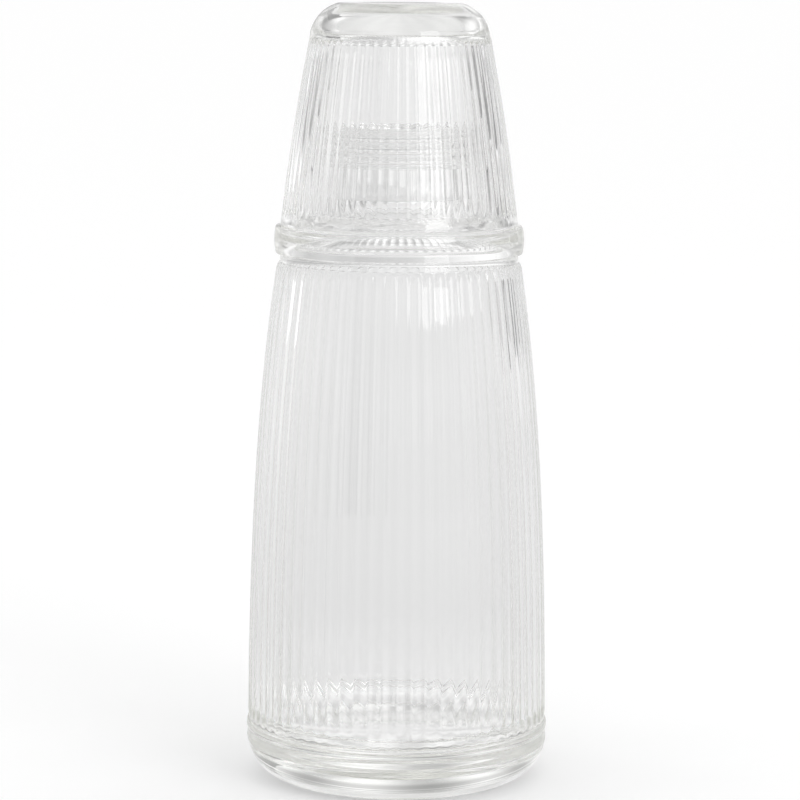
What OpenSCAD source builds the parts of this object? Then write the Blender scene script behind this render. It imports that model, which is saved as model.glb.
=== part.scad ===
// Bedside carafe in clear ribbed pressed glass, with its tumbler turned over the neck.
// The part stands on z = 0, its axis is the z axis and every size is in millimetres.

/* [Carafe heel and foot] */
// Outer radius of the flat ring that the carafe stands on
foot_r = 34.2; // [32:0.2:37]
// Width of that flat ring
foot_w = 5; // [4:0.5:9]
// Depth of the recess under the foot
foot_recess = 3; // [1.4:0.2:4]
// Height of the rounded heel
heel_h = 10.8; // [9:0.2:14]
// Radius of the heel's rounding
heel_round = 12.6; // [11:0.2:16]
// How far the top of the heel stands out past the rib crests
heel_out = 0.1; // [0:0.05:0.4]
// Height of the faint lower bead at the top of the heel
low_bead_h = 2.6; // [1.6:0.1:4]
// How far the lower bead stands out
low_bead_out = 0.2; // [0.1:0.05:0.4]
// Height of the plain groove between the two beads
groove_h = 1.6; // [0.8:0.1:3]
// Height of the upper bead
bead_h = 2.5; // [1.6:0.1:4]
// How far the upper bead stands out
bead_out = 0.35; // [0.2:0.05:0.6]
// Height of the plain gap between the upper bead and the ribs
gap_h = 1.2; // [0.6:0.1:2]
// How far this gap is set in from the rib crests
gap_in = 0.3; // [0.2:0.05:0.8]

/* [Carafe body] */
// Radius of the rib crests at the widest place
belly_r = 46.6; // [44:0.2:50]
// Height of the widest place above the table
belly_z = 10; // [2:0.5:16]
// Radius of the rib crests where the ribs end under the ring
throat_r = 37.6; // [36:0.2:40]
// Length of the ribbed wall
body_ribs_l = 142.3; // [120:0.1:170]
// Thickness of the body's wall at the rib crests
body_wall = 3.2; // [2.6:0.1:4]
// Thickness of the glass under the floor
floor_t = 17.5; // [14:0.5:19]
// Radius of the rounded corner around the floor
floor_round = 5.5; // [4:0.5:9]

/* [Carafe ring and shoulder] */
// Height of the smooth band between the ribs and the ring
band_h = 2.6; // [1.8:0.1:4]
// How far this band is set in from the rib crests
band_in = 0.9; // [0.6:0.05:1.4]
// Height of the ring that carries the tumbler
ring_h = 8.4; // [6:0.2:10]
// How far the ring stands out of the band under it
ring_out = 1.8; // [1.2:0.1:3]
// Rise of the ring's bowed face
ring_bow = 0.35; // [0.1:0.05:0.6]
// Radius of the ring's edges
ring_round = 0.5; // [0.3:0.1:0.8]
// Rise of the shoulder from the ring to the foot of the neck
shoulder_h = 9; // [7:0.5:12]
// Thickness of the shoulder
shoulder_wall = 3.4; // [2.6:0.1:4]

/* [Carafe neck] */
// Height of the neck from the ring to its rim
neck_h = 30.4; // [28:0.4:36]
// Outer radius of the neck
neck_r = 22.3; // [20:0.1:24]
// Thickness of the neck's wall
neck_wall = 2.9; // [2.2:0.1:3.6]
// Height of one rounded ring of the neck's finish
collar_h = 3.3; // [2.6:0.1:3.8]
// How far these rings stand out of the neck
collar_out = 0.9; // [0.5:0.1:1.5]
// Number of these rings
collars = 3; // [2:1:4]
// Height of the slim ring under them
slim_h = 2; // [1.2:0.1:3]
// How far the slim ring stands out of the neck
slim_out = 0.5; // [0.2:0.05:0.8]
// Radius of the neck's rounded rim
mouth_round = 1.1; // [0.6:0.1:1.4]

/* [Tumbler] */
// Height of the tumbler
tumbler_h = 68; // [62:0.4:80]
// How far the tumbler's rim is set in from the ring's face
rim_in = 1.8; // [1.2:0.1:2.6]
// Outer radius of the tumbler's wall where the base begins
cup_base_r = 27.7; // [26:0.1:29.5]
// How far the side bows out of a straight cone
cup_bow = 0.65; // [0.2:0.05:1.2]
// Thickness of the wall at the rim
rim_wall = 3.3; // [2.6:0.1:3.8]
// Thickness of the wall at the floor
cup_wall = 4.2; // [3.2:0.1:5]
// Thickness of the glass of the base
cup_base_t = 9.7; // [8:0.1:12]
// Radius of the large rounded corner of the base
cup_round = 12.1; // [9:0.1:15]
// Radius of the flat that the tumbler stands on when it is in use
cup_flat_r = 18.9; // [16:0.1:21]
// Depth of the recess in that flat
cup_recess = 0.8; // [0.4:0.1:1.6]
// Radius of the rounded corner around the tumbler's floor
cup_floor_round = 4; // [2:0.5:6]
// Height of the smooth lip
lip_h = 2.6; // [1.8:0.1:4]
// Radius of the rim's rounded edges
lip_round = 0.9; // [0.5:0.1:1.2]

/* [Ribs] */
// Number of ribs around each piece
ribs = 66; // [48:2:72]
// Depth of the carafe's ribs
body_rib_d = 0.5; // [0.2:0.05:0.8]
// Depth of the tumbler's ribs
cup_rib_d = 0.4; // [0.2:0.05:0.6]
// Length of a rib's rounded end
rib_end_l = 2.6; // [1.6:0.1:4]

/* [Fits] */
// Gap between the tumbler's inner rim and the foot of the shoulder
rim_gap = 0.8; // [0.4:0.1:1.5]

/* [Hidden] */
glass = [0.86, 0.92, 0.93];
$fn = 2 * ribs;

// Facets across one rib, and steps along the arcs and the long walls
rib_facets = 4;
round_steps = 8;
bead_steps = 4;
edge_steps = 3;
wall_steps = 10;
body_steps = 7;
cup_steps = 3;
// Ledge where a ribbed wall meets a smooth one, also how far the wall reaches into the smooth solid
mould_step = 0.12;
// Overrun of a cut
overrun = 2;
// Places along a rib's rounded end, as shares of the way from its tip to its full depth
end_shares = [0.09, 0.3, 0.6, 1];
// Share of the body's narrowing that follows the square of the height, the rest follows its fourth power
square_share = 0.71;
// Place where the shoulder turns from its round into the sweep up to the neck, as a share of its run
turn_share = 0.5;
// Direction that a valley between two ribs faces
front_angle = -90;

// Heights up the carafe
groove_z = heel_h + low_bead_h;
bead_z = groove_z + groove_h;
ribs_z0 = bead_z + bead_h + gap_h;
ribs_z1 = ribs_z0 + body_ribs_l;
ring_z0 = ribs_z1 + band_h;
ring_z1 = ring_z0 + ring_h;
neck_z0 = ring_z1 + shoulder_h;
neck_z1 = ring_z1 + neck_h;
collars_z = neck_z1 - collars * collar_h;

// Radii of the carafe
heel_r = belly_r + heel_out;
band_r = throat_r - band_in;
ring_r = band_r + ring_out;
rim_r = ring_r - rim_in;
shoulder_r = rim_r - rim_wall - rim_gap;
bore_r = neck_r - neck_wall;

// Heights and radii of the tumbler
cup_z0 = ring_z1;
cup_z1 = cup_z0 + tumbler_h;
cup_ribs_z0 = cup_z0 + lip_h;
cup_ribs_z1 = cup_z1 - cup_base_t;
cup_floor_z = cup_z1 - cup_base_t;

// Radius of the carafe's rib crests at height z
function body_r(z) =
    let (t = (z - belly_z) / (ribs_z1 - belly_z))
    belly_r - (belly_r - throat_r) * (square_share * pow(t, 2) + (1 - square_share) * pow(t, 4));

// Radius of the tumbler's rib crests at height z
function cup_r(z) =
    let (t = (z - cup_z0) / (cup_ribs_z1 - cup_z0))
    rim_r + (cup_base_r - rim_r) * t + 4 * cup_bow * t * (1 - t);

// Radius of the tumbler's inside at height z
function cup_inner_r(z) =
    let (t = (z - cup_z0) / (cup_floor_z - cup_z0))
    cup_r(z) - rim_wall - (cup_wall - rim_wall) * t;

// Points of the arc from p to q, with its centre to the left, or to the right for a negative radius
function arc(p, q, radius, steps) =
    let (half = norm(q - p) / 2,
         r = max(abs(radius), half),
         side = sign(radius) * sqrt(r * r - half * half) / (2 * half),
         c = (p + q) / 2 + side * [p.y - q.y, q.x - p.x],
         a = atan2(p.y - c.y, p.x - c.x),
         b = atan2(q.y - c.y, q.x - c.x),
         turn = (b - a) - 360 * round((b - a) / 360))
    [for (i = [0 : steps]) c + r * [cos(a + turn * i / steps), sin(a + turn * i / steps)]];

// Radius of a shallow dome of radius r at its foot and of the given rise
function dome_radius(r, rise) = (r * r + rise * rise) / (2 * rise);

// Points of the arc from p to q that rises over its chord, to the right of its way for a positive rise
function bow(p, q, rise, steps) =
    arc(p, q, dome_radius(norm(q - p) / 2, rise), steps);

// Place of column k across its rib: 0 on the crest, 1 in the valleys beside it
function across(k) = abs(2 * (k % rib_facets) / rib_facets - 1);

// How far a rib's round tip draws back at column k, where the crests lie at radius r
function tip_back(k, r) = PI * r / ribs * (1 - sqrt(1 - pow(across(k), 2)));

// Share of the full relief at a distance from the end of a ribbed wall
function end_relief(distance) = sqrt(1 - pow(1 - max(0, min(1, distance / rib_end_l)), 2));

// Length of a rib's whole end, from the tip of its crest to where its valleys are full
function end_l(r) = rib_end_l + tip_back(0, r);

// Heights of the rows of a ribbed wall whose crests end at radii r0 and r1
function rib_rows(z0, r0, z1, r1, steps) = concat(
    [z0 - mould_step],
    [for (t = end_shares) z0 + end_l(r0) * t],
    [for (i = [1 : steps - 1]) z0 + end_l(r0) + (z1 - z0 - end_l(r0) - end_l(r1)) * i / steps],
    [for (i = [len(end_shares) - 1 : -1 : 0]) z1 - end_l(r1) * end_shares[i]],
    [z1 + mould_step]);

// Closed wall through rings of points that all have the same count
module rings_solid(rings) {
    count = len(rings[0]);
    last = len(rings) - 1;
    polyhedron(
        points = [for (ring = rings) each ring],
        faces = concat(
            [[for (k = [0 : count - 1]) k]],
            [[for (k = [count - 1 : -1 : 0]) last * count + k]],
            [for (i = [0 : last - 1], k = [0 : count - 1], half = [0, 1])
                let (low = i * count, high = low + count, next = (k + 1) % count)
                half == 0 ? [low + k, high + next, low + next] : [low + k, high + k, high + next]]),
        convexity = 4);
}

// One ring of points of a ribbed wall, at a distance from the wall's nearer end: crests at crest_r, valleys
// a depth lower, all faded to end_r at the ribs' round tips
function rib_ring(z, distance, crest_r, end_r, depth) = [
    for (k = [0 : ribs * rib_facets - 1])
        let (relief = end_relief(distance - tip_back(k, crest_r)),
             r = end_r + (crest_r - depth * pow(across(k), 2) - end_r) * relief,
             angle = front_angle + 360 * k / (ribs * rib_facets))
        [r * cos(angle), r * sin(angle), z]];

// Ribbed wall of the carafe, as a solid core
module body_ribs() {
    rings_solid([
        for (z = rib_rows(ribs_z0, body_r(ribs_z0), ribs_z1, throat_r, body_steps))
            let (low = z - ribs_z0 < ribs_z1 - z,
                 end_r = low ? body_r(ribs_z0) - gap_in : band_r)
            rib_ring(z, min(z - ribs_z0, ribs_z1 - z), body_r(z), end_r - mould_step, body_rib_d)]);
}

// Ribbed wall of the tumbler, as a solid core
module cup_ribs() {
    rings_solid([
        for (z = rib_rows(cup_ribs_z0, cup_r(cup_ribs_z0), cup_ribs_z1, cup_base_r, cup_steps))
            let (crest_r = cup_r(z) - mould_step)
            rib_ring(z, min(z - cup_ribs_z0, cup_ribs_z1 - z), crest_r, crest_r, cup_rib_d)]);
}

// Foot, heel and beads of the carafe, as a solid core
module body_base() {
    recess_r = foot_r - foot_w;
    gap_r = body_r(ribs_z0) - gap_in;
    rotate_extrude() polygon(concat(
        arc([0, foot_recess], [recess_r, 0], -dome_radius(recess_r, foot_recess), bead_steps),
        arc([foot_r, 0], [heel_r, heel_h], heel_round, round_steps),
        bow([heel_r, heel_h], [heel_r, groove_z], low_bead_out, bead_steps),
        bow([heel_r, bead_z], [heel_r, bead_z + bead_h], bead_out, bead_steps),
        [[gap_r, bead_z + bead_h], [gap_r, ribs_z0], [0, ribs_z0]]));
}

// Smooth band, ring, shoulder and neck of the carafe, as a solid core
module body_top() {
    edge_r = ring_r - ring_bow;
    turn = [neck_r + (shoulder_r - neck_r) * turn_share, ring_z1 + shoulder_h * turn_share];
    rotate_extrude() polygon(concat(
        [[0, ribs_z1], [band_r, ribs_z1], [band_r, ring_z0]],
        arc([edge_r - ring_round, ring_z0], [edge_r, ring_z0 + ring_round], ring_round, edge_steps),
        bow([edge_r, ring_z0 + ring_round], [edge_r, ring_z1 - ring_round], ring_bow, bead_steps),
        arc([edge_r, ring_z1 - ring_round], [edge_r - ring_round, ring_z1], ring_round, edge_steps),
        arc([shoulder_r, ring_z1], turn, shoulder_h, round_steps),
        arc(turn, [neck_r, neck_z0], -shoulder_h, round_steps),
        bow([neck_r, collars_z - slim_h], [neck_r, collars_z], slim_out, bead_steps),
        [for (i = [0 : collars - 2])
            each bow([neck_r, collars_z + i * collar_h], [neck_r, collars_z + (i + 1) * collar_h],
                     collar_out, bead_steps)],
        bow([neck_r, neck_z1 - collar_h], [neck_r, neck_z1 - mouth_round], collar_out, bead_steps),
        arc([neck_r, neck_z1 - mouth_round], [neck_r - mouth_round, neck_z1], mouth_round, edge_steps),
        [[0, neck_z1]]));
}

// Space inside the carafe, open at the mouth
module body_space() {
    wall_z0 = floor_t + floor_round;
    wall_z1 = ring_z0;
    wall_r0 = body_r(wall_z0) - body_wall;
    wall_r1 = body_r(wall_z1) - body_wall;
    turn = [neck_r + (shoulder_r - neck_r) * turn_share - shoulder_wall / 2,
            ring_z1 + shoulder_h * turn_share - shoulder_wall];
    rotate_extrude() polygon(concat(
        [[0, floor_t]],
        arc([wall_r0 - floor_round, floor_t], [wall_r0, wall_z0], floor_round, round_steps),
        [for (i = [1 : wall_steps])
            let (z = wall_z0 + (wall_z1 - wall_z0) * i / wall_steps) [body_r(z) - body_wall, z]],
        arc([wall_r1, wall_z1], turn, shoulder_h, round_steps),
        arc(turn, [bore_r, neck_z0], -shoulder_h, round_steps),
        arc([bore_r, neck_z1 - mouth_round], [bore_r + mouth_round, neck_z1], -mouth_round, edge_steps),
        [[bore_r + mouth_round, neck_z1 + overrun], [0, neck_z1 + overrun]]));
}

module carafe() {
    color(glass) difference() {
        union() {
            body_base();
            body_ribs();
            body_top();
        }
        body_space();
    }
}

// Smooth lip of the tumbler, as a solid core
module cup_lip() {
    round_z = cup_z0 + lip_round;
    rotate_extrude() polygon(concat(
        [[0, cup_z0]],
        arc([rim_r - lip_round, cup_z0], [cup_r(round_z), round_z], lip_round, edge_steps),
        [[cup_r(cup_ribs_z0), cup_ribs_z0], [0, cup_ribs_z0]]));
}

// Base of the tumbler, as a solid core
module cup_base() {
    recess_r = cup_flat_r - foot_w;
    rotate_extrude() polygon(concat(
        [[0, cup_ribs_z1]],
        arc([cup_r(cup_ribs_z1), cup_ribs_z1], [cup_flat_r, cup_z1], cup_round, round_steps),
        arc([recess_r, cup_z1], [0, cup_z1 - cup_recess], -dome_radius(recess_r, cup_recess), bead_steps)));
}

// Space inside the tumbler, open at the rim
module cup_space() {
    wall_z0 = cup_z0 + lip_round;
    wall_z1 = cup_floor_z - cup_floor_round;
    wall_r0 = cup_inner_r(wall_z0);
    rotate_extrude() polygon(concat(
        [[0, cup_z0 - overrun], [wall_r0 + lip_round, cup_z0 - overrun]],
        arc([wall_r0 + lip_round, cup_z0], [wall_r0, wall_z0], -lip_round, edge_steps),
        [for (i = [1 : wall_steps])
            let (z = wall_z0 + (wall_z1 - wall_z0) * i / wall_steps) [cup_inner_r(z), z]],
        arc([cup_inner_r(wall_z1), wall_z1], [cup_inner_r(wall_z1) - cup_floor_round, cup_floor_z],
            cup_floor_round, round_steps),
        [[0, cup_floor_z]]));
}

module tumbler() {
    color(glass) difference() {
        union() {
            cup_lip();
            cup_ribs();
            cup_base();
        }
        cup_space();
    }
}

carafe();
tumbler();
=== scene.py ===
import math

import bpy
from mathutils import Matrix


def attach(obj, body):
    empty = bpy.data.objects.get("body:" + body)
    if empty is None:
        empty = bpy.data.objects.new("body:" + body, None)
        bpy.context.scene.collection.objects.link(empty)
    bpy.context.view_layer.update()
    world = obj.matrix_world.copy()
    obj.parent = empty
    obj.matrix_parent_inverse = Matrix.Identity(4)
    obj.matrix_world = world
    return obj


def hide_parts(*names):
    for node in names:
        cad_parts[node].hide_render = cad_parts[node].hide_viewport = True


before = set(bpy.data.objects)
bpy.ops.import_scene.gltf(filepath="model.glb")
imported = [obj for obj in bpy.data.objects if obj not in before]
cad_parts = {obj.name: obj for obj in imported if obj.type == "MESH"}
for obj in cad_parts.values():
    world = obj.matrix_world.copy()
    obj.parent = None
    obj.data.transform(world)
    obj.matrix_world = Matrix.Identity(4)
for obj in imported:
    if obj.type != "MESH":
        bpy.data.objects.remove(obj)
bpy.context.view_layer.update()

# Sizes of the glass in millimetres, the carafe's from the table up and the tumbler's from its rim up
MM = 0.001
RIBS = 66
COLUMNS_PER_RIB = 6
FRONT = -math.pi / 2

# Foot, heel and beads of the carafe
FOOT_R = 34.2
FOOT_W = 5.0
FOOT_RECESS = 3.0
HEEL_H = 10.8
HEEL_ROUND = 12.6
HEEL_OUT = 0.1
LOW_BEAD_H = 2.6
LOW_BEAD_OUT = 0.2
GROOVE_H = 1.6
BEAD_H = 2.5
BEAD_OUT = 0.35
GAP_H = 1.2
GAP_IN = 0.3

# Ribbed body and its inside
BELLY_R = 46.6
BELLY_Z = 10.0
THROAT_R = 37.6
BODY_RIBS_L = 142.3
BODY_WALL = 3.2
BODY_RIB_D = 0.5
FLOOR_T = 17.5
FLOOR_ROUND = 5.5
SQUARE_SHARE = 0.71

# Band, ring and shoulder
BAND_H = 2.6
BAND_IN = 0.9
RING_H = 8.4
RING_OUT = 1.8
RING_BOW = 0.35
RING_ROUND = 0.5
SHOULDER_H = 9.0
SHOULDER_WALL = 3.4
TURN_SHARE = 0.5

# Neck with its collars
NECK_H = 30.4
NECK_R = 22.3
NECK_WALL = 2.9
COLLAR_H = 3.3
COLLAR_OUT = 0.9
COLLARS = 3
SLIM_H = 2.0
SLIM_OUT = 0.5
MOUTH_ROUND = 1.1

# Tumbler
TUMBLER_H = 68.0
RIM_IN = 1.8
CUP_BASE_R = 27.7
CUP_BOW = 0.65
RIM_WALL = 3.3
CUP_WALL = 4.2
CUP_BASE_T = 9.7
CUP_ROUND = 12.1
CUP_FLAT_R = 18.9
CUP_RECESS = 0.8
CUP_FLOOR_ROUND = 4.0
LIP_H = 2.6
LIP_ROUND = 0.9
CUP_RIB_D = 0.4

# Details of both pieces
RIB_END_L = 2.6
RIM_GAP = 0.8
MOULD_STEP = 0.12
EDGE_POLISH = 0.3
REST_GAP = 0.03

# Steps of the round stretches of the outlines
HEEL_STEPS = 18
FLOOR_STEPS = 10
BEAD_STEPS = 8
MOUTH_STEPS = 5
EDGE_STEPS = 4

# Rows of the ribbed walls, close together over this length at both ends, and rows of the plain inside
ROWS_END_L = 5.0
END_ROWS = 12
BODY_ROWS = 17
CUP_ROWS = 12
INNER_ROWS = 14

# Heights and radii that follow from the sizes
GROOVE_Z = HEEL_H + LOW_BEAD_H
BEAD_Z = GROOVE_Z + GROOVE_H
RIBS_Z0 = BEAD_Z + BEAD_H + GAP_H
RIBS_Z1 = RIBS_Z0 + BODY_RIBS_L
RING_Z0 = RIBS_Z1 + BAND_H
RING_Z1 = RING_Z0 + RING_H
NECK_Z0 = RING_Z1 + SHOULDER_H
NECK_Z1 = RING_Z1 + NECK_H
COLLARS_Z = NECK_Z1 - COLLARS * COLLAR_H
HEEL_R = BELLY_R + HEEL_OUT
BAND_R = THROAT_R - BAND_IN
RING_R = BAND_R + RING_OUT
RIM_R = RING_R - RIM_IN
SHOULDER_R = RIM_R - RIM_WALL - RIM_GAP
BORE_R = NECK_R - NECK_WALL
CUP_Z0 = RING_Z1
CUP_Z1 = CUP_Z0 + TUMBLER_H
CUP_RIBS_Z0 = CUP_Z0 + LIP_H
CUP_RIBS_Z1 = CUP_Z1 - CUP_BASE_T


def body_radius(z):
    """Radius of the carafe's rib crests at height z."""
    t = (z - BELLY_Z) / (RIBS_Z1 - BELLY_Z)
    return BELLY_R - (BELLY_R - THROAT_R) * (SQUARE_SHARE * t ** 2 + (1 - SQUARE_SHARE) * t ** 4)


def cup_radius(z):
    """Radius of the tumbler's rib crests at height z."""
    t = (z - CUP_Z0) / (CUP_RIBS_Z1 - CUP_Z0)
    return RIM_R + (CUP_BASE_R - RIM_R) * t + 4 * CUP_BOW * t * (1 - t)


def cup_inner_radius(z):
    """Radius of the tumbler's inside at height z."""
    t = (z - CUP_Z0) / (CUP_RIBS_Z1 - CUP_Z0)
    return cup_radius(z) - RIM_WALL - (CUP_WALL - RIM_WALL) * t


def arc(p, q, radius, steps):
    """Points of an arc from p to q, with its centre to the left, or to the right for a negative radius."""
    half = math.dist(p, q) / 2
    r = max(abs(radius), half)
    side = math.copysign(math.sqrt(r * r - half * half), radius) / (2 * half)
    cx = (p[0] + q[0]) / 2 + side * (p[1] - q[1])
    cz = (p[1] + q[1]) / 2 + side * (q[0] - p[0])
    start = math.atan2(p[1] - cz, p[0] - cx)
    turn = math.remainder(math.atan2(q[1] - cz, q[0] - cx) - start, 2 * math.pi)
    return [(cx + r * math.cos(start + turn * i / steps), cz + r * math.sin(start + turn * i / steps))
            for i in range(steps + 1)]


def dome_radius(r, rise):
    """Radius of a shallow dome of radius r at its foot and of the given rise."""
    return (r * r + rise * rise) / (2 * rise)


def bow(p, q, rise, steps):
    """Points of a shallow arc from p to q, bulging to the right of its way for a positive rise."""
    return arc(p, q, dome_radius(math.dist(p, q) / 2, rise), steps)


def polished(points, radius, sharpest=math.radians(24)):
    """Rounds every corner of an outline as fire polishing does."""
    out = [points[0]]
    for before, here, after in zip(points, points[1:], points[2:]):
        ways = [(end[0] - here[0], end[1] - here[1]) for end in (before, after)]
        lengths = [math.hypot(*way) for way in ways]
        if min(lengths) < 1e-6:
            continue
        cosine = -(ways[0][0] * ways[1][0] + ways[0][1] * ways[1][1]) / (lengths[0] * lengths[1])
        bend = math.acos(max(-1, min(1, cosine)))
        if bend < sharpest:
            out.append(here)
            continue
        back = min(radius * math.tan(bend / 2), 0.45 * lengths[0], 0.45 * lengths[1])
        start, end = [(here[0] + way[0] * back / length, here[1] + way[1] * back / length)
                      for way, length in zip(ways, lengths)]
        for t in (0, 0.33, 0.67, 1):
            out.append(tuple((1 - t) ** 2 * u + 2 * t * (1 - t) * v + t * t * w
                             for u, v, w in zip(start, here, end)))
    return out + [points[-1]]


def rib_end(along, across, crest_r):
    """Relief of a rib's round tip: 0 beyond it, 1 where the rib is full."""
    start = math.pi * crest_r / RIBS * (1 - math.sqrt(1 - across * across))
    t = max(0.0, min(1.0, (along - start) / RIB_END_L))
    return math.sqrt(1 - (1 - t) ** 2)


def ribbed_body(z, across):
    """Radius of the carafe's ribbed wall at height z; across is 0 on a crest and 1 in a valley."""
    low = z - RIBS_Z0 < RIBS_Z1 - z
    end_r = body_radius(RIBS_Z0) - GAP_IN if low else BAND_R
    full = body_radius(z) - BODY_RIB_D * across ** 2
    return end_r + (full - end_r) * rib_end(min(z - RIBS_Z0, RIBS_Z1 - z), across, body_radius(z))


def ribbed_cup(z, across):
    """Radius of the tumbler's ribbed wall at height z; across is 0 on a crest and 1 in a valley."""
    crest_r = cup_radius(z) - MOULD_STEP
    return crest_r - CUP_RIB_D * across ** 2 * rib_end(min(z - CUP_RIBS_Z0, CUP_RIBS_Z1 - z), across, crest_r)


def rib_heights(z0, z1, rows):
    """Heights of the rows of a ribbed wall, close together where the ribs end."""
    ends = [ROWS_END_L * i / END_ROWS for i in range(END_ROWS)]
    return ([z0 + d for d in ends]
            + [z0 + ROWS_END_L + (z1 - z0 - 2 * ROWS_END_L) * i / rows for i in range(rows + 1)]
            + [z1 - d for d in reversed(ends)])


def carafe_outline():
    """Half section of the carafe, from the middle of its foot round to the middle of its floor."""
    recess_r = FOOT_R - FOOT_W
    edge_r = RING_R - RING_BOW
    turn = (NECK_R + (SHOULDER_R - NECK_R) * TURN_SHARE, RING_Z1 + SHOULDER_H * TURN_SHARE)
    inner_turn = (turn[0] - SHOULDER_WALL / 2, turn[1] - SHOULDER_WALL)
    gap_r = body_radius(RIBS_Z0) - GAP_IN
    wall_z0 = FLOOR_T + FLOOR_ROUND
    wall_r0 = body_radius(wall_z0) - BODY_WALL
    outside = arc((0, FOOT_RECESS), (recess_r, 0), -dome_radius(recess_r, FOOT_RECESS), BEAD_STEPS)
    outside += arc((FOOT_R, 0), (HEEL_R, HEEL_H), HEEL_ROUND, HEEL_STEPS)
    outside += bow((HEEL_R, HEEL_H), (HEEL_R, GROOVE_Z), LOW_BEAD_OUT, BEAD_STEPS)[1:]
    outside += bow((HEEL_R, BEAD_Z), (HEEL_R, BEAD_Z + BEAD_H), BEAD_OUT, BEAD_STEPS)
    outside += [(gap_r, BEAD_Z + BEAD_H)]
    outside += [(ribbed_body(z, 0), z) for z in rib_heights(RIBS_Z0, RIBS_Z1, BODY_ROWS)]
    outside += [(BAND_R, RING_Z0)]
    outside += arc((edge_r - RING_ROUND, RING_Z0), (edge_r, RING_Z0 + RING_ROUND), RING_ROUND, EDGE_STEPS)
    outside += bow((edge_r, RING_Z0 + RING_ROUND), (edge_r, RING_Z1 - RING_ROUND), RING_BOW, BEAD_STEPS)[1:]
    outside += arc((edge_r, RING_Z1 - RING_ROUND), (edge_r - RING_ROUND, RING_Z1), RING_ROUND, EDGE_STEPS)[1:]
    outside += arc((SHOULDER_R, RING_Z1), turn, SHOULDER_H, BEAD_STEPS)
    outside += arc(turn, (NECK_R, NECK_Z0), -SHOULDER_H, BEAD_STEPS)[1:]
    outside += bow((NECK_R, COLLARS_Z - SLIM_H), (NECK_R, COLLARS_Z), SLIM_OUT, BEAD_STEPS)
    for i in range(COLLARS):
        low = COLLARS_Z + i * COLLAR_H
        high = low + COLLAR_H - (MOUTH_ROUND if i == COLLARS - 1 else 0)
        outside += bow((NECK_R, low), (NECK_R, high), COLLAR_OUT, BEAD_STEPS)[1:]
    mouth_z = NECK_Z1 - MOUTH_ROUND
    outside += arc((NECK_R, mouth_z), (NECK_R - MOUTH_ROUND, NECK_Z1), MOUTH_ROUND, MOUTH_STEPS)[1:]
    inside = arc((BORE_R + MOUTH_ROUND, NECK_Z1), (BORE_R, mouth_z), MOUTH_ROUND, MOUTH_STEPS)
    inside += arc((BORE_R, NECK_Z0), inner_turn, SHOULDER_H, BEAD_STEPS)
    inside += arc(inner_turn, (body_radius(RING_Z0) - BODY_WALL, RING_Z0), -SHOULDER_H, BEAD_STEPS)[1:]
    rows = (RING_Z0 + (wall_z0 - RING_Z0) * i / INNER_ROWS for i in range(1, INNER_ROWS))
    inside += [(body_radius(z) - BODY_WALL, z) for z in rows]
    inside += arc((wall_r0, wall_z0), (wall_r0 - FLOOR_ROUND, FLOOR_T), -FLOOR_ROUND, FLOOR_STEPS)
    inside += [((wall_r0 - FLOOR_ROUND) * share, FLOOR_T) for share in (0.6, 0.25, 0)]
    return outside + inside


def tumbler_outline():
    """Half section of the upturned tumbler, from the middle of its floor round to the middle of its base."""
    floor_z = CUP_RIBS_Z1
    wall_z1 = floor_z - CUP_FLOOR_ROUND
    wall_r1 = cup_inner_radius(wall_z1)
    rim_z = CUP_Z0 + LIP_ROUND
    rim_inner = cup_inner_radius(rim_z)
    recess_r = CUP_FLAT_R - FOOT_W
    inside = [((wall_r1 - CUP_FLOOR_ROUND) * share, floor_z) for share in (0, 0.3, 0.65)]
    inside += arc((wall_r1 - CUP_FLOOR_ROUND, floor_z), (wall_r1, wall_z1), -CUP_FLOOR_ROUND, FLOOR_STEPS)
    rows = (wall_z1 + (rim_z - wall_z1) * i / INNER_ROWS for i in range(1, INNER_ROWS))
    inside += [(cup_inner_radius(z), z) for z in rows]
    inside += arc((rim_inner, rim_z), (rim_inner + LIP_ROUND, CUP_Z0), LIP_ROUND, MOUTH_STEPS)
    outside = arc((RIM_R - LIP_ROUND, CUP_Z0), (cup_radius(rim_z), rim_z), LIP_ROUND, MOUTH_STEPS)
    outside += [(ribbed_cup(z, 0), z) for z in rib_heights(CUP_RIBS_Z0, CUP_RIBS_Z1, CUP_ROWS)]
    outside += arc((cup_radius(CUP_RIBS_Z1), CUP_RIBS_Z1), (CUP_FLAT_R, CUP_Z1), CUP_ROUND, HEEL_STEPS)[1:]
    outside += arc((recess_r, CUP_Z1), (0, CUP_Z1 - CUP_RECESS),
                   -dome_radius(recess_r, CUP_RECESS), BEAD_STEPS)
    return [(r, max(z, CUP_Z0 + REST_GAP)) for r, z in inside + outside]


def deselect():
    """Leaves edit mode and clears the selection."""
    if bpy.context.object and bpy.context.object.mode != "OBJECT":
        bpy.ops.object.mode_set(mode="OBJECT")
    bpy.ops.object.select_all(action="DESELECT")


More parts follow.
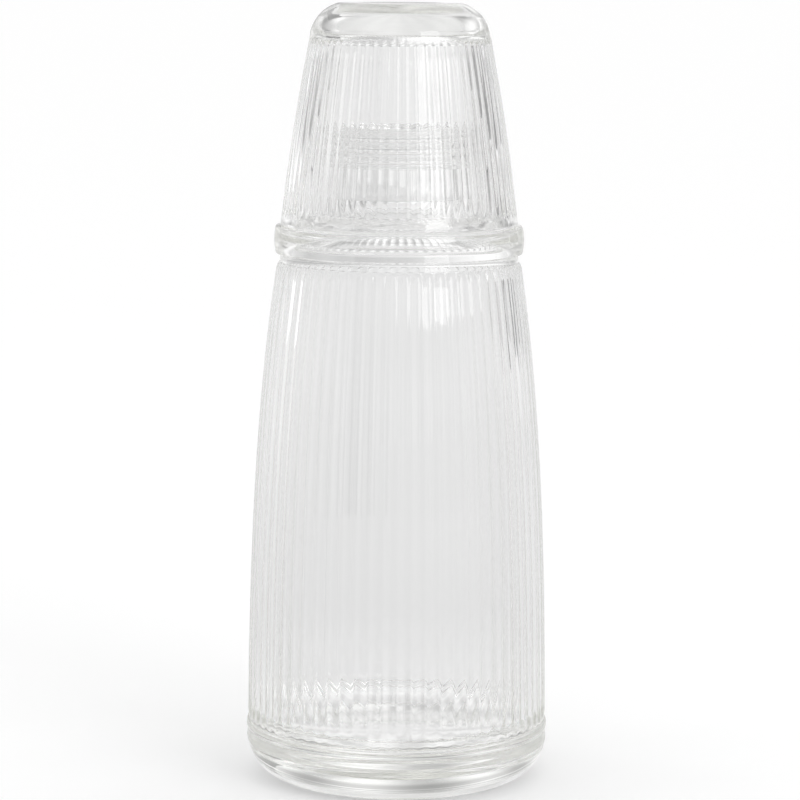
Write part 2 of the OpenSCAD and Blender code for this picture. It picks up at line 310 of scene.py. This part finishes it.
def turned(name, outline):
    """Draws a half section point by point and spins it round the z axis into a closed solid."""
    deselect()
    points = [(x * MM, z * MM) for x, z in outline]
    bpy.ops.mesh.primitive_plane_add(size=MM, location=(0, 0, 0))
    piece = bpy.context.object
    piece.name = piece.data.name = name
    bpy.ops.object.mode_set(mode="EDIT")
    bpy.ops.mesh.merge(type="CENTER")
    bpy.ops.transform.translate(value=(points[0][0], 0, points[0][1]))
    for (x0, z0), (x1, z1) in zip(points, points[1:]):
        bpy.ops.mesh.extrude_region_move(TRANSFORM_OT_translate={"value": (x1 - x0, 0, z1 - z0)})
    bpy.ops.mesh.select_all(action="SELECT")
    bpy.ops.mesh.spin(steps=RIBS * COLUMNS_PER_RIB, angle=2 * math.pi, center=(0, 0, 0), axis=(0, 0, 1))
    bpy.ops.mesh.select_all(action="SELECT")
    bpy.ops.mesh.remove_doubles(threshold=MM / 200)
    bpy.ops.mesh.normals_make_consistent(inside=False)
    bpy.ops.object.mode_set(mode="OBJECT")
    bpy.ops.object.shade_smooth()
    return piece


def press_ribs(piece, radius_at, z0, z1, inner_radius, deepest):
    """Presses the valleys between the ribs into a turned outer wall."""
    valleys = piece.vertex_groups.new(name="valleys")
    pitch = 2 * math.pi / RIBS
    for vertex in piece.data.vertices:
        x, y, z = (c / MM for c in vertex.co)
        r = math.hypot(x, y)
        # The inside stays as it was turned
        if not z0 < z < z1 or r < inner_radius(z) + 1:
            continue
        place = (math.atan2(y, x) - FRONT) / pitch
        across = abs(2 * (place - math.floor(place)) - 1)
        depth = radius_at(z, 0) - radius_at(z, across)
        if depth > 0:
            valleys.add([vertex.index], min(1, depth / deepest), "REPLACE")
    deselect()
    piece.select_set(True)
    bpy.context.view_layer.objects.active = piece
    press = piece.modifiers.new("pressed valleys", "DISPLACE")
    press.vertex_group = "valleys"
    press.mid_level = 0
    press.strength = -deepest * MM
    bpy.ops.object.modifier_apply(modifier=press.name)


def linear(hex_colour):
    """Linear colour of an sRGB hex value."""
    parts = [int(hex_colour[i:i + 2], 16) / 255 for i in (1, 3, 5)]
    return [c / 12.92 if c <= 0.04045 else ((c + 0.055) / 1.055) ** 2.4 for c in parts] + [1]


def add_node(tree, kind, settings=None, **inputs):
    """Adds a shader node, sets its properties, and sets or links its inputs."""
    node = tree.nodes.new(kind)
    for key, value in (settings or {}).items():
        setattr(node, key, value)
    for key, value in inputs.items():
        name = key.replace("_", " ")
        socket = node.inputs[int(key[1:])] if key[0] == "i" and key[1:].isdigit() else node.inputs[name]
        if isinstance(value, bpy.types.NodeSocket):
            tree.links.new(value, socket)
        else:
            socket.default_value = value
    return node


def pressed_glass():
    """Clear soda-lime glass, pressed and fire polished, with the faint waviness that the mould leaves."""
    material = bpy.data.materials.new("soda-lime glass, pressed and fire polished")
    material.use_nodes = True
    tree = material.node_tree
    tree.nodes.clear()
    place = add_node(tree, "ShaderNodeTexCoord").outputs["Object"]
    # The chilled skin of pressed glass swells and sinks over about 14 mm
    swell = add_node(tree, "ShaderNodeTexNoise", Vector=place, Scale=1 / (14 * MM), Detail=1.0, Roughness=0.4)
    # Finer drag marks of the plunger, about 3 mm apart
    drag = add_node(tree, "ShaderNodeTexNoise", Vector=place, Scale=1 / (3 * MM), Detail=2.0, Roughness=0.5)
    coarse = add_node(tree, "ShaderNodeBump", Height=swell.outputs["Fac"], Distance=0.03 * MM, Strength=1.0)
    fine = add_node(tree, "ShaderNodeBump", Height=drag.outputs["Fac"], Distance=0.002 * MM, Strength=1.0,
                    Normal=coarse.outputs["Normal"])
    # Fire polish varies a little, which softens some reflections more than others
    haze = add_node(tree, "ShaderNodeMapRange", i0=swell.outputs["Fac"], i1=0.35, i2=0.7, i3=0.0, i4=0.03)
    glass = add_node(tree, "ShaderNodeBsdfPrincipled", Base_Color=linear("#FCFCFC"), IOR=1.5,
                     Transmission_Weight=1.0, Roughness=haze.outputs["Result"], Normal=fine.outputs["Normal"])
    # Traces of iron give the thick base a faint olive grey that the thin walls don't show
    iron = add_node(tree, "ShaderNodeVolumeAbsorption", Color=linear("#D6D7CE"), Density=3.0)
    add_node(tree, "ShaderNodeOutputMaterial", Surface=glass.outputs["BSDF"], Volume=iron.outputs["Volume"])
    return material


def strips(tree, place, darkest):
    """Faint strips of light and shade that stand all round, one every 36 degrees."""
    axes = add_node(tree, "ShaderNodeSeparateXYZ", Vector=place)
    turn = add_node(tree, "ShaderNodeMath", {"operation": "ARCTAN2"},
                    i0=axes.outputs["Y"], i1=axes.outputs["X"])
    waves = add_node(tree, "ShaderNodeMath", {"operation": "MULTIPLY"}, i0=turn.outputs[0], i1=10.0)
    wave = add_node(tree, "ShaderNodeMath", {"operation": "SINE"}, i0=waves.outputs[0])
    shade = add_node(tree, "ShaderNodeMapRange", i0=wave.outputs[0], i1=-1.0, i2=1.0, i3=darkest, i4=1.0)
    return shade.outputs[0]


def seen_directly(tree):
    """1 for what is seen straight, mirrored or through the glass, 0 for light that falls on surfaces."""
    path = add_node(tree, "ShaderNodeLightPath")
    mirrored = add_node(tree, "ShaderNodeMath", {"operation": "MAXIMUM"},
                        i0=path.outputs["Is Camera Ray"], i1=path.outputs["Is Glossy Ray"])
    seen = add_node(tree, "ShaderNodeMath", {"operation": "MAXIMUM"},
                    i0=mirrored.outputs[0], i1=path.outputs["Is Transmission Ray"])
    return seen.outputs[0]


def studio_world():
    """Soft white studio with a grey band low on its walls, just above the horizon."""
    world = bpy.data.worlds.new("soft white studio")
    bpy.context.scene.world = world
    world.use_nodes = True
    tree = world.node_tree
    tree.nodes.clear()
    way = add_node(tree, "ShaderNodeTexCoord").outputs["Generated"]
    axes = add_node(tree, "ShaderNodeSeparateXYZ", Vector=way)
    level = add_node(tree, "ShaderNodeValToRGB", Fac=axes.outputs["Z"])
    # Heights as the sine of the angle over the horizon, each with its shade
    walls = ((0.04, 1.0), (0.10, 0.6), (0.19, 0.6), (0.30, 0.95), (0.90, 0.95))
    for wall in walls[1:-1]:
        level.color_ramp.elements.new(wall[0])
    for stop, (height, shade) in zip(level.color_ramp.elements, walls):
        stop.position, stop.color = height, (shade, shade, shade, 1)
    lit = add_node(tree, "ShaderNodeMath", {"operation": "MULTIPLY"}, i0=level.outputs["Color"], i1=1.27)
    seen = add_node(tree, "ShaderNodeMath", {"operation": "MULTIPLY"},
                    i0=strips(tree, way, 0.5), i1=lit.outputs[0])
    path = add_node(tree, "ShaderNodeLightPath")
    strength = add_node(tree, "ShaderNodeMix", {"data_type": "FLOAT"}, i0=path.outputs["Is Camera Ray"],
                        i2=seen.outputs[0], i3=1.0)
    sky = add_node(tree, "ShaderNodeBackground", Color=linear("#FFFFFF"), Strength=strength.outputs[0])
    add_node(tree, "ShaderNodeOutputWorld", Surface=sky.outputs[0])


def studio_floor():
    """White floor that keeps the object's soft shadow and looks plain to the camera; what the glass sees of
    it glows with painted shade and painted light.
    """
    deselect()
    bpy.ops.mesh.primitive_circle_add(vertices=96, radius=20, fill_type="NGON", location=(0, 0, 0))
    floor = bpy.context.object
    floor.name = "studio_floor"
    floor.location.z = -REST_GAP * MM
    material = bpy.data.materials.new("matt white sweep")
    material.use_nodes = True
    tree = material.node_tree
    tree.nodes.clear()
    place = add_node(tree, "ShaderNodeTexCoord").outputs["Object"]
    matt = add_node(tree, "ShaderNodeBsdfDiffuse", Color=linear("#E4E4E4"))
    far = add_node(tree, "ShaderNodeVectorMath", {"operation": "LENGTH"}, i0=place)
    # Painted shade: the glow that the glass sees is darker near the object and lighter far out; distances
    # from the object's middle in metres, i1 and i2, each with its share of the glow, i3 and i4
    sweep = add_node(tree, "ShaderNodeMapRange", i0=far.outputs["Value"], i1=0.2, i2=1.4, i3=0.32, i4=0.78)
    # Painted light: the floor below and next to the glass glows brighter, in place of light that would pass
    # through it
    painted_light_beside = add_node(tree, "ShaderNodeMapRange", i0=far.outputs["Value"], i1=0.06, i2=0.25, i3=0.5, i4=0.0)
    painted_light_under = add_node(tree, "ShaderNodeMapRange", {"interpolation_type": "SMOOTHSTEP"},
                     i0=far.outputs["Value"], i1=0.03, i2=0.07, i3=1.65, i4=0.0)
    through = add_node(tree, "ShaderNodeMath", {"operation": "ADD"},
                       i0=painted_light_beside.outputs[0], i1=painted_light_under.outputs[0])
    painted_light_and_shade = add_node(tree, "ShaderNodeMath", {"operation": "ADD"},
                      i0=sweep.outputs[0], i1=through.outputs[0])
    # Painted strips of light and shade run through this glow, which only the glass sees
    shade = add_node(tree, "ShaderNodeMath", {"operation": "MULTIPLY"}, i0=strips(tree, place, 0.65),
                     i1=painted_light_and_shade.outputs[0])
    path = add_node(tree, "ShaderNodeLightPath")
    plain = add_node(tree, "ShaderNodeMix", {"data_type": "FLOAT"}, i0=path.outputs["Is Camera Ray"],
                     i2=shade.outputs[0], i3=1.0)
    glow = add_node(tree, "ShaderNodeMath", {"operation": "MULTIPLY"},
                    i0=seen_directly(tree), i1=plain.outputs[0])
    level = add_node(tree, "ShaderNodeMath", {"operation": "MULTIPLY"}, i0=glow.outputs[0], i1=0.305)
    lift = add_node(tree, "ShaderNodeEmission", Color=linear("#FFFFFF"), Strength=level.outputs[0])
    both = add_node(tree, "ShaderNodeAddShader", i0=matt.outputs[0], i1=lift.outputs[0])
    add_node(tree, "ShaderNodeOutputMaterial", Surface=both.outputs[0])
    floor.data.materials.append(material)


def softbox(name, turn, distance, height, width, tall, radiance):
    """Tall soft light that faces the object, turned by degrees to the right of the camera's side."""
    light = bpy.data.lights.new(name, "AREA")
    light.shape = "RECTANGLE"
    light.size = width
    light.size_y = tall
    light.energy = radiance * math.pi * width * tall
    box = bpy.data.objects.new(name, light)
    bpy.context.collection.objects.link(box)
    angle = math.radians(turn)
    box.location = (distance * math.sin(angle), -distance * math.cos(angle), height)
    box.rotation_euler = (math.pi / 2, 0, angle)
    return box


def flag(name, turn, distance, height, width, tall, shade):
    """Matt card that only the glass sees, as a dark streak, turned by degrees to the right of the camera."""
    deselect()
    bpy.ops.mesh.primitive_plane_add(size=1, location=(0, 0, 0))
    card = bpy.context.object
    card.name = name
    angle = math.radians(turn)
    card.scale = (width, tall, 1)
    card.location = (distance * math.sin(angle), -distance * math.cos(angle), height)
    card.rotation_euler = (math.pi / 2, 0, angle)
    card.visible_camera = False
    material = bpy.data.materials.new("matt card")
    material.use_nodes = True
    tree = material.node_tree
    tree.nodes.clear()
    paint = add_node(tree, "ShaderNodeBsdfDiffuse", Color=linear(shade))
    add_node(tree, "ShaderNodeOutputMaterial", Surface=paint.outputs[0])
    card.data.materials.append(material)


def camera_at_photo_angle():
    """Camera about a metre away, looking down at the object."""
    picture_px, focal_px, shift_px = 800, 3200, 1.7
    sensor_mm = 36
    distance, height = 0.9827, 0.2558
    pitch, roll = math.radians(8.0), math.radians(0.33)
    data = bpy.data.cameras.new("camera")
    data.sensor_width = sensor_mm
    data.lens = focal_px / picture_px * sensor_mm
    data.shift_x = shift_px / picture_px
    data.clip_end = 100
    camera = bpy.data.objects.new("camera", data)
    bpy.context.collection.objects.link(camera)
    turn = Matrix.Rotation(math.pi / 2 - pitch, 4, "X") @ Matrix.Rotation(roll, 4, "Z")
    camera.matrix_world = Matrix.Translation((0, -distance, height)) @ turn
    bpy.context.scene.camera = camera


camera_at_photo_angle()
studio_world()
studio_floor()
softbox("key", turn=39, distance=1.3, height=0.675, width=0.60, tall=0.75, radiance=3.0)
flag("dark_card", turn=-38, distance=1.2, height=0.45, width=0.35, tall=0.9, shade="#2A2A2A")
flag("grey_card", turn=130, distance=1.2, height=0.30, width=0.36, tall=0.44, shade="#ACACAC")

glass = pressed_glass()

carafe = turned("ribbed_carafe", polished(carafe_outline(), EDGE_POLISH))
press_ribs(carafe, ribbed_body, RIBS_Z0, RIBS_Z1, lambda z: body_radius(z) - BODY_WALL, BODY_RIB_D * 2)
tumbler = turned("ribbed_tumbler", polished(tumbler_outline(), EDGE_POLISH))
press_ribs(tumbler, ribbed_cup, CUP_RIBS_Z0, CUP_RIBS_Z1, cup_inner_radius, CUP_RIB_D)

for piece, node in ((carafe, "carafe"), (tumbler, "tumbler")):
    piece.data.materials.append(glass)
    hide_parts(node)
    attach(piece, node)

scene = bpy.context.scene
scene.view_settings.view_transform = "Standard"
scene.cycles.max_bounces = 96
scene.cycles.transmission_bounces = 96
scene.cycles.glossy_bounces = 96
